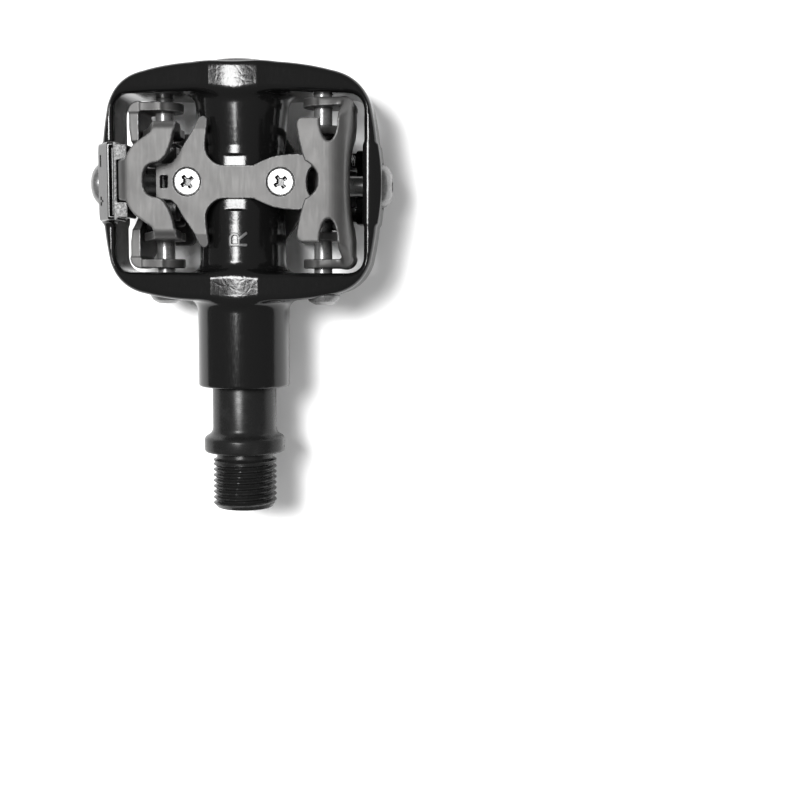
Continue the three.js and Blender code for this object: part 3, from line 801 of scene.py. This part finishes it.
def build_ring(node, name, body, slot, groove=0.0):
    """A smooth ring in the place of a CAD ring about the spindle, of the size of that node."""
    low, high = (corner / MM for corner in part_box(node))
    inner = min(math.hypot(v.co.x, v.co.z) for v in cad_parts[node].data.vertices) / MM
    profile = ring_profile(inner, high.x, low.y - PLATE_Y, high.y - PLATE_Y, groove=groove)
    own(turned(name, profile), body, slot, node)


def build_bearings():
    for place in ("middle", "outboard"):
        node = place + "_bearing_"
        build_ring(node + "inner_race", place + "_inner_ring", "spindle", "bearing_steel", groove=0.3)
        build_ring(node + "outer_race", place + "_outer_ring", "pedal_body", "bearing_steel", groove=-0.3)
    build_ring("bearing_spacer", "spacer_sleeve", "spindle", "bearing_steel")
    build_ring("inboard_bush", "bush_sleeve", "pedal_body", "bush_metal")
    build_ring("dust_seal", "seal_ring", "pedal_body", "seal_rubber")
    build_ring("lock_washer", "spindle_washer", "spindle", "spring_steel")


# ---------------------------------------------------------------- plate

PLATE_PLAN = drawn(mirrored(path(
    (-16.9, 0), (-16.9, 3.2), ((-16.8, 3.6), (-16.2, 3.7)), (-13.8, 3.9), ((-12.6, 4.4), (-11.4, 6.9)),
    (-8.6, 11.1), (-7.6, 13.3), ((-6.6, 14.6), (-5.7, 13.3)), (-5.7, 12.2), (-6.1, 8.4),
    ((-6.5, 5.6), (-4.4, 3.7), (-2.4, 3.5)), (4.2, 3.5), ((6, 4.4), (8.4, 5.3)), ((11, 5.9), (14.1, 5.9)),
    (17, 5), (17, 3.3), ((15.7, 2.4), (15.7, 0)))))
FOLD_Y = 11.1
FOLD_SLOPE = 0.19


def plate(x, y, z):
    """The platform plate: its two wing tips are folded down a little, and it has a slot at the front."""
    lowered = z + np.maximum(np.abs(y) - FOLD_Y, 0) * FOLD_SLOPE
    sheet = common(0.22, PLATE_PLAN(x, y), slab(lowered, PLATE_TOP - PLATE_THICK, PLATE_TOP))
    slot = common(0.4, slab(x, -15.9, -14.3), slab(y, -1.35, 1.35))
    seats = np.hypot(np.abs(x) - PLATE_SCREW_X, y) - 3.0
    seats = np.maximum(seats, PLATE_TOP - 0.35 - z)
    holes = rod(np.abs(x), y, PLATE_SCREW_X, 0, 1.5)
    cone = np.hypot(np.abs(x) - PLATE_SCREW_X, y) - 3.0 - (z - PLATE_TOP + 0.1)
    return cut(0.08, sheet, np.minimum.reduce(np.broadcast_arrays(slot, seats, holes, cone)))


def phillips_screw(x, y, z):
    """A countersunk screw about its own axis, its top at 0, with a cross recess and a shank."""
    radius = np.hypot(x, y)
    head = common(0.15, radius - 2.85, radius - 2.85 - (z + 0.12) * 1.1, z + 0.06 * radius * radius / 8.4)
    shank = np.maximum(radius - 1.3, slab(z, -6.2, -1))
    turn = math.radians(35)
    u = x * math.cos(turn) + y * math.sin(turn)
    v = y * math.cos(turn) - x * math.sin(turn)
    narrow = 0.10 * np.minimum(z, 0)
    arms = np.minimum(block(u, v, z, (-1.5, -0.38, -1.2), (1.5, 0.38, 1), 0.15),
                      block(v, u, z, (-1.5, -0.38, -1.2), (1.5, 0.38, 1), 0.15)) - narrow
    middle_hollow = np.maximum(radius - 0.78, slab(z, -1.15, 1))
    solid = np.maximum(np.minimum(head, shank), slab(z, -6.2, 0.2))
    return cut(0.12, solid, np.minimum(arms, middle_hollow))


def phillips_at(screw_x, top):
    return lambda x, y, z: phillips_screw(x - screw_x, y, z - top)


def build_plates():
    stamping = sculpted("plate_stamping", plate, (-17.6, -15.4, 8.2), (17.6, 15.4, 11), 0.2)
    own_both(stamping, "pedal_body", "plate_steel", "platform_plate")
    for end, x in (("front", -PLATE_SCREW_X), ("rear", PLATE_SCREW_X)):
        field = phillips_at(x, PLATE_TOP - 0.1)
        screw = sculpted("plate_fixing_" + end, field, (x - 3.2, -3.2, 4), (x + 3.2, 3.2, 10.8), 0.11)
        own_both(screw, "pedal_body", "bright_steel", "plate_screw_" + end)


# ---------------------------------------------------------------- claws

FRONT_PLAN = drawn(mirrored(path(
    (-24.4, 0), (-24.4, 3.6), ((-24.3, 4.0), (-23.9, 4.1)), (-22, 4.4), ((-20.9, 7), (-19.1, 8.1)),
    (-16.9, 9.6), ((-16, 10.2), (-15.9, 11.2)), (-15.9, 13.2), (-11.4, 13.2), (-11.4, 12.4),
    ((-11.9, 7), (-13.7, 4.7)), ((-14.4, 3.9), (-15.3, 3.6)), ((-18.3, 3.6), (-18.3, 0)))))
FRONT_SIDE = drawn(path(
    (-9, CLAW_TOP), (-20.5, CLAW_TOP), ((-24.4, CLAW_TOP), (-24.4, 11.4)), (-22.3, 11.4),
    ((-22.3, 13.9), (-20.5, 13.9)), (-9, 13.9)))
FRONT_WEB = drawn([(-15.9, 15.6), (-11.4, 15.6), (-11.6, 10), (-14.4, -2.4), (-22, -5.4), (-22.3, -1.6)])
REAR_PLAN = drawn(mirrored(path(
    (18.8, 0), (18.7, 1.2), ((18, 3), (16.1, 3.9)), ((14.9, 7), (14.3, 11.4)), ((14.6, 13), (16, 13)),
    (19.1, 13), ((19.3, 6.4), (22.9, 6.4), (22.9, 13)), (22.6, 16.2), (13, 16.2), (13, 18.4),
    (22.5, 18.4), ((CLAW_BACK_X, 18.4), (CLAW_BACK_X, 15.4)), (CLAW_BACK_X, 12.6), ((24.4, 6), (24.5, 0)))))
REAR_SIDE = drawn(path(
    (12, CLAW_TOP), (20.4, CLAW_TOP), ((CLAW_BACK_X, CLAW_TOP), (CLAW_BACK_X, 10.6)), (CLAW_BACK_X, -0.9),
    (23.2, -0.9), (23.2, 10.6), ((23.2, 13.9), (20.4, 13.9)), (12, 13.9)))
REAR_WEB = drawn([(18.4, 7.6), (18.4, -1), (26, -0.9), (26, 9), (22, 9)])
REAR_SHOULDER = drawn([(13.2, 20), (13.2, 15.4), (18.6, 7.4), (20, 7.4), (20, 20)])


def bend_corner(y, z, out_y, radius):
    """How far a point is outside the round corner where a claw's top turns down into its ears."""
    across = np.maximum(np.abs(y) - (out_y - radius), 0)
    up = np.maximum(z - (CLAW_TOP - radius), 0)
    return np.hypot(across, up) - radius


def front_claw(x, y, z):
    """The fixed claw: a flat top hooked over the casting's wall, and two ears down to the pin."""
    top = common(0.35, FRONT_PLAN(x, y), FRONT_SIDE(x, z))
    eye = rod(x, z, -PIN_X, -PIN_Z, 4.2)
    ears = common(0.35, join(2.5, FRONT_WEB(x, z), eye), slab(np.abs(y), *INNER_EAR))
    corner = bend_corner(y, z, INNER_EAR[1], 2.4)
    claw = common(0.3, join(0.7, top, ears), np.maximum(corner, np.abs(y) - INNER_EAR[1]))
    return cut(0.15, claw, rod(x, z, -PIN_X, -PIN_Z, PIN_R))


def rear_claw(x, y, z):
    """The sprung claw: a hooked lip, a humped top, a bent back with an arch, and two pinned ears."""
    top = common(0.5, REAR_PLAN(x, y), REAR_SIDE(x, z))
    eye = rod(x, z, PIN_X, PIN_Z, 4.3)
    ears = common(0.35, join(1.5, eye, REAR_WEB(x, z)), slab(np.abs(y), *OUTER_EAR), REAR_PLAN(x, y))
    claw = cut(0.8, join(0.8, top, ears), REAR_SHOULDER(np.abs(y), z))
    arch = np.maximum(rod(y, z, 0, -5.2, 10.6), 21 - x)
    return cut(0.3, claw, np.minimum(arch, rod(x, z, PIN_X, PIN_Z, PIN_R)))


def build_claws():
    claw = sculpted("front_claw_stamping", front_claw, (-25, -13.2, -8.4), (-10.6, 13.2, 16.6), 0.23)
    own_both(claw, "pedal_body", "plate_steel", "front_claw")
    claw = sculpted("rear_claw_stamping", rear_claw, (12.4, -19, -2), (26.2, 19, 16.6), 0.23)
    own_both(claw, "release_claw_", "plate_steel", "rear_claw")


# ---------------------------------------------------------------- pins, springs, tension screws, nuts


def build_pins():
    pin = [(0, -26.35), (1.8, -26.25), (3.1, -25.55), (3.7, -24.55), (3.7, -24.05), (2, -24.05), (2, 21.8),
           (1.6, 22.3), (0, 22.3)]
    piece = turned("hinge_pin", softened(pin, 0.25), centre=(PIN_X, 0, PIN_Z), segments=64)
    own_both(piece, "pedal_body", "bright_steel", "pivot_pin")


COIL_R = 3.5
WIRE_R = 0.95
COIL_TURNS = 2.25


def spring_path(side):
    """The middle line of one torsion spring: a leg up to the claw, the coil, and a leg to the nut."""
    points = [(21.9, side * 9.2, 8.3)]
    steps = int(40 * COIL_TURNS)
    for i in range(steps + 1):
        angle = -2 * math.pi * COIL_TURNS * i / steps
        points.append((PIN_X + COIL_R * math.cos(angle), side * (9.2 - 4.8 * i / steps),
                       PIN_Z + COIL_R * math.sin(angle)))
    points.append((13.2, side * 4.4, PIN_Z - COIL_R))
    return points


def build_springs():
    for place, side in (("inboard", -1), ("outboard", 1)):
        piece = wire("spring_wire_" + place, spring_path(side), WIRE_R)
        own_both(piece, "pedal_body", "spring_steel", "torsion_spring_" + place)


def tension_nut(x, y, z):
    """The block on the tension screw, whose wide foot holds the springs' legs."""
    hump = block(x, y, z, (NUT_LOW_X, -3.1, -5.4), (NUT_HIGH_X, 3.1, 0.9), 0.5)
    foot = block(x, y, z, (NUT_LOW_X, -8, -5.4), (NUT_HIGH_X, 8, -1.75), 0.4)
    return cut(0.2, join(0.6, hump, foot), rod(y, z, 0, SCREW_Z, 2.5))


def build_tension_gear():
    tip = HEAD_TIP_X
    shank = [(0, 12.9), (1.8, 12.9), (2.3, 13.4), (2.3, 30.45)]
    dome = [(4.75, 30.45), (4.7, 31.25), (4.45, 31.85), (4.0, 32.35), (3.35, 32.8), (2.6, tip - 0.1),
            (2.0, tip)]
    socket = [(1.75, tip), (hex_radius(1.5), tip - 0.25), (hex_radius(1.5), 31.65), (0, 31.65)]
    profile = softened(shank + dome, 0.2) + socket
    piece = turned("tension_dome_screw", profile, "x", (0, 0, SCREW_Z), segments=72)
    own_both(piece, "tension_screw_body_", "bright_steel", "tension_screw")
    nut = sculpted("tension_block", tension_nut, (13, -8.6, -6), (17.8, 8.6, 1.6), 0.22)
    own_both(nut, "tension_nut_body_", "spring_steel", "tension_nut")


# ---------------------------------------------------------------- the pedal

build_frame()
build_spindle()
build_bearings()
build_plates()
build_claws()
build_pins()
build_springs()
build_tension_gear()

KEPT_NODES = {
    "middle_bearing_ball_cage": "bearing_steel", "outboard_bearing_ball_cage": "bearing_steel",
    "retaining_ring": "spring_steel", "lock_nut": "bright_steel",
}
for node, slot in KEPT_NODES.items():
    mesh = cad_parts[node].data
    mesh.materials.clear()
    mesh.materials.append(finishes[slot])

# ---------------------------------------------------------------- floor, lights and camera


def paper():
    f = Finish("white_paper")
    body = f.mix(f.noise(30.0, 3.0), grey(0.86), grey(0.9))
    return f.give(color=body, rough=f.spread(f.noise(2.0, 3.0), 0.3, 0.7, 0.6, 0.8), specular=0.15,
                  normal=f.bump(f.noise(0.5, 3.0), 0.01))


def floor():
    sheet = bpy.data.meshes.new("paper_sheet")
    half = 1.2
    corners = [(-half, -half, 0), (half, -half, 0), (half, half, 0), (-half, half, 0)]
    sheet.from_pydata(corners, [], [(0, 1, 2, 3)])
    sheet.materials.append(paper())
    piece = bpy.data.objects.new("paper_floor", sheet)
    piece.location = (0, 0, FLOOR_Z)
    bpy.context.scene.collection.objects.link(piece)


def lamp(name, place_mm, aim_mm, size_mm, watts, glints=True):
    """A soft box at a place in the pedal's millimetres, turned to face another place."""
    light = bpy.data.lights.new(name, "AREA")
    light.energy = watts
    light.shape = "RECTANGLE"
    light.size, light.size_y = (side * MM for side in size_mm)
    lamp_object = bpy.data.objects.new(name, light)
    place, aim = (Vector(p) * MM + Vector((0, PLATE_Y * MM, 0)) for p in (place_mm, aim_mm))
    lamp_object.location = place
    lamp_object.rotation_euler = (aim - place).to_track_quat("-Z", "Y").to_euler()
    lamp_object.visible_glossy = glints
    bpy.context.scene.collection.objects.link(lamp_object)


def background(level):
    world = bpy.data.worlds.new("studio")
    world.use_nodes = True
    world.node_tree.nodes["Background"].inputs["Color"].default_value = grey(1.0)
    world.node_tree.nodes["Background"].inputs["Strength"].default_value = level
    bpy.context.scene.world = world


def camera():
    lens = bpy.data.cameras.new("main_camera")
    lens.sensor_width = 36
    lens.lens = 53.2
    lens.clip_start = 0.01
    eye = bpy.data.objects.new("main_camera", lens)
    eye.location = (Vector((52.2, -20.8, 263.9)) + Vector((0, PLATE_Y, 0))) * MM
    eye.rotation_euler = [math.radians(turn) for turn in (-5.75, 3.7, 0.35)]
    bpy.context.scene.collection.objects.link(eye)
    bpy.context.scene.camera = eye


floor()
lamp("key_softbox", (-195, 100, 600), (0, -20, 0), (210, 210), 3.6, glints=False)
lamp("fill_softbox", (300, -260, 600), (0, -20, 0), (700, 700), 1.9, glints=False)
lamp("glint_softbox", (-121, 88, 600), (0, 0, 0), (150, 205), 3.1)
background(0.2)
camera()
bpy.context.scene.view_settings.view_transform = "Standard"
